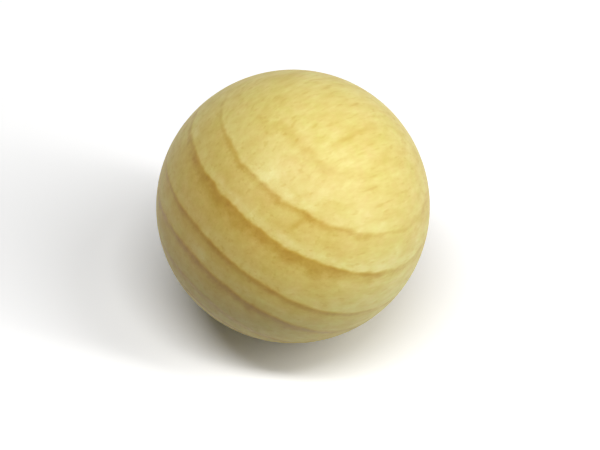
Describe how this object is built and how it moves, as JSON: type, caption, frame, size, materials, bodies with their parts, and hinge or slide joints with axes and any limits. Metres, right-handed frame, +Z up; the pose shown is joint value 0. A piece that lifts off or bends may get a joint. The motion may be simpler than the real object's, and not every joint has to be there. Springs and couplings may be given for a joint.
{
  "type": "wooden ball",
  "caption": "Plain turned ball of pale wood with wide growth rings and a smooth satin surface, used as a small bench and desk part.",
  "frame": {"origin": "centre of the ball", "axes": "+Z up as the ball lies, with its lowest point at (0, 0, -0.015); -Y is the side that is seen from the front. Every axis is an axis of symmetry of the form; the wood's fibres run along (0.70, 0.64, -0.31)"},
  "size_m": [0.03, 0.03, 0.03],
  "materials": {
    "wood": "sanded smooth, unvarnished, faint satin sheen"
  },
  "bodies": {
    "root": {"ball": "wood"}
  },
  "joints": []
}
